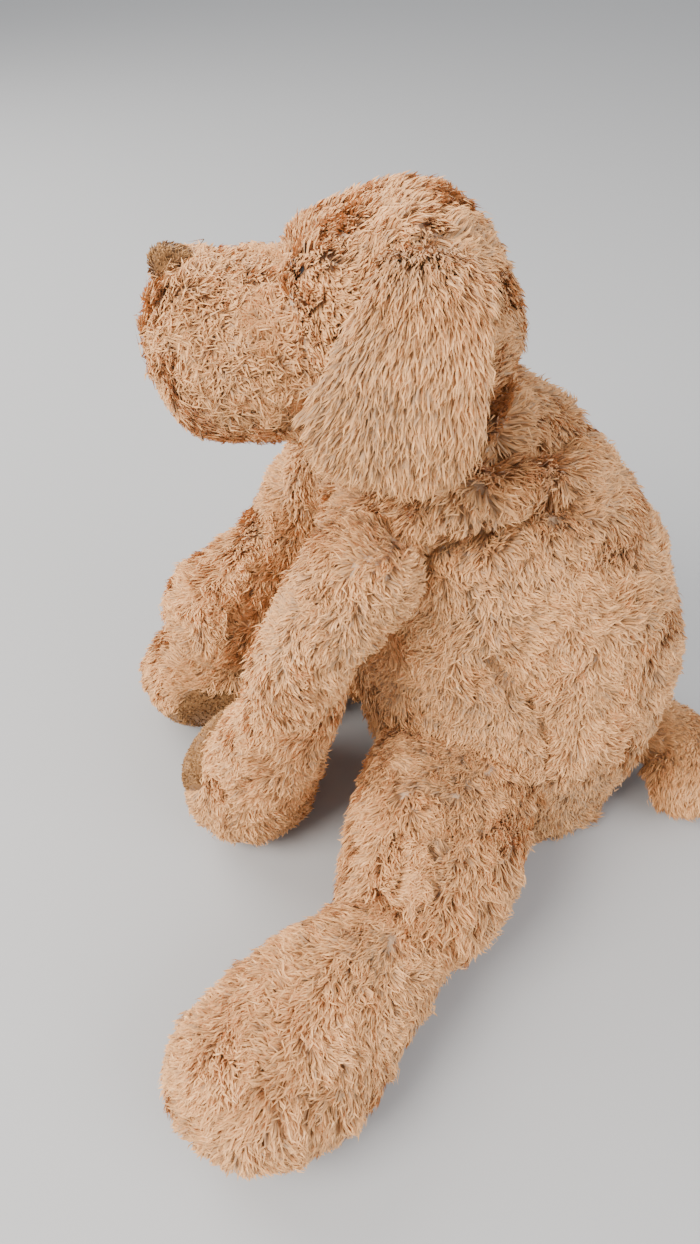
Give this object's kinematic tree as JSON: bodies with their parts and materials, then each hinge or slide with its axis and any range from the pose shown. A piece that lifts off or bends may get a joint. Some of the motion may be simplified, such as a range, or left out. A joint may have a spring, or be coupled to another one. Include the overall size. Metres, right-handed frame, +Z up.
{
  "type": "plush dog",
  "caption": "Seated plush dog with tufted cream-tan fur, hanging ears, a turning head, swinging arms, splayed legs with brown soles, and a stub tail.",
  "frame": {"origin": "centre of the flat of the seat, on the surface the dog sits on", "axes": "+Z up, the dog's face towards -Y, the dog's own left side towards +X"},
  "size_m": [0.233, 0.2445, 0.2301],
  "materials": {
    "long_fur": "soft cream to tan fur cloth, tufted pile about 5 mm long",
    "fur_lining": "the same fur cloth, slightly shorter and more tan",
    "brown_plush": "short brushed brown plush",
    "fibre_stuffing": "white polyester fibre",
    "pellet_pouch_cloth": "plain woven pouch of plastic pellets",
    "eye_plastic": "polished near-black",
    "washer_plastic": "natural white",
    "seam_thread": "matt sewing thread"
  },
  "bodies": {
    "torso": {"torso_skin": "long_fur", "torso_stuffing": "fibre_stuffing", "seat_pellet_pouch": "pellet_pouch_cloth", "back_closing_seam": "seam_thread"},
    "neck": {"neck_wadding": "fibre_stuffing"},
    "head": {"head_skin": "long_fur", "head_stuffing": "fibre_stuffing", "muzzle_skin": "long_fur", "muzzle_stuffing": "fibre_stuffing", "nose": "brown_plush", "left_eye": "eye_plastic", "right_eye": "eye_plastic", "left_eye_washer": "washer_plastic", "right_eye_washer": "washer_plastic"},
    "left_ear": {"left_ear_outer": "long_fur", "left_ear_lining": "fur_lining"},
    "right_ear": {"right_ear_outer": "long_fur", "right_ear_lining": "fur_lining"},
    "left_arm": {"left_arm_skin": "long_fur", "left_arm_stuffing": "fibre_stuffing", "left_paw_pellet_pouch": "pellet_pouch_cloth", "left_paw_pad": "brown_plush"},
    "right_arm": {"right_arm_skin": "long_fur", "right_arm_stuffing": "fibre_stuffing", "right_paw_pellet_pouch": "pellet_pouch_cloth", "right_paw_pad": "brown_plush"},
    "left_leg": {"left_leg_skin": "long_fur", "left_leg_stuffing": "fibre_stuffing"},
    "right_leg": {"right_leg_skin": "long_fur", "right_leg_stuffing": "fibre_stuffing"},
    "left_foot": {"left_foot_skin": "long_fur", "left_foot_stuffing": "fibre_stuffing", "left_foot_pellet_pouch": "pellet_pouch_cloth", "left_foot_sole": "brown_plush"},
    "right_foot": {"right_foot_skin": "long_fur", "right_foot_stuffing": "fibre_stuffing", "right_foot_pellet_pouch": "pellet_pouch_cloth", "right_foot_sole": "brown_plush"},
    "tail": {"tail_skin": "long_fur", "tail_stuffing": "fibre_stuffing"}
  },
  "joints": [
    {"name": "head_turn", "type": "hinge", "parent": "torso", "child": "neck", "pos_m": [0, -0.057, 0.1995], "axis": [0, 0, 1], "range_deg": [-35, 35]},
    {"name": "head_nod", "type": "hinge", "parent": "neck", "child": "head", "pos_m": [0, -0.057, 0.1995], "axis": [1, 0, 0], "range_deg": [-25, 12]},
    {"name": "left_ear_flap", "type": "hinge", "parent": "head", "child": "left_ear", "pos_m": [0.03, -0.053, 0.227], "axis": [0, -1, 0], "range_deg": [0, 80]},
    {"name": "right_ear_flap", "type": "hinge", "parent": "head", "child": "right_ear", "pos_m": [-0.03, -0.053, 0.227], "axis": [0, 1, 0], "range_deg": [0, 80]},
    {"name": "left_shoulder", "type": "hinge", "parent": "torso", "child": "left_arm", "pos_m": [0.04, -0.066, 0.139], "axis": [-1, 0, 0], "range_deg": [0, 60]},
    {"name": "right_shoulder", "type": "hinge", "parent": "torso", "child": "right_arm", "pos_m": [-0.04, -0.066, 0.139], "axis": [-1, 0, 0], "range_deg": [0, 60]},
    {"name": "left_hip", "type": "hinge", "parent": "torso", "child": "left_leg", "pos_m": [0.04, -0.03, 0.037], "axis": [0, 0, 1], "range_deg": [-15, 27]},
    {"name": "right_hip", "type": "hinge", "parent": "torso", "child": "right_leg", "pos_m": [-0.04, -0.03, 0.037], "axis": [0, 0, -1], "range_deg": [0, 45]},
    {"name": "left_ankle", "type": "hinge", "parent": "left_leg", "child": "left_foot", "pos_m": [0.09612, -0.05269, 0.02944], "axis": [-0.7507, -0.6606, 0], "range_deg": [0, 25]},
    {"name": "right_ankle", "type": "hinge", "parent": "right_leg", "child": "right_foot", "pos_m": [-0.03534, -0.07318, 0.02996], "axis": [0, 0, -1], "range_deg": [0, 25]},
    {"name": "tail_wag", "type": "hinge", "parent": "torso", "child": "tail", "pos_m": [0.004, 0.045, 0.031], "axis": [0, 0, 1], "range_deg": [-5, 40]}
  ]
}
